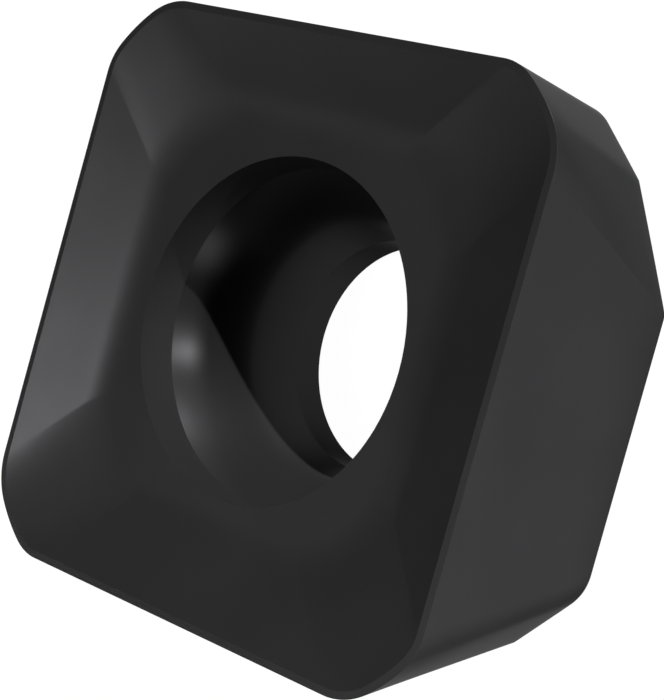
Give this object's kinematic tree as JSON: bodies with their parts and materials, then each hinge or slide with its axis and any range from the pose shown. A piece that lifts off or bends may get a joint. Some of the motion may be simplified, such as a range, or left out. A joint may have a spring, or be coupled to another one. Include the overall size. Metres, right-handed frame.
{
  "type": "carbide insert",
  "caption": "Square indexable carbide milling insert with a chip groove along every cutting edge, relieved back corners and a countersunk hole for a clamping screw.",
  "frame": {"origin": "on the flat back face, where the screw hole's axis leaves it", "axes": "+Z along the screw hole, from the back face to the cutting edges; X and Y square to the four flanks"},
  "size_m": [0.0134, 0.0134, 0.0056],
  "materials": {
    "coated_carbide": "satin dark grey coating on sintered carbide"
  },
  "bodies": {
    "root": {"insert": "coated_carbide"}
  },
  "joints": []
}
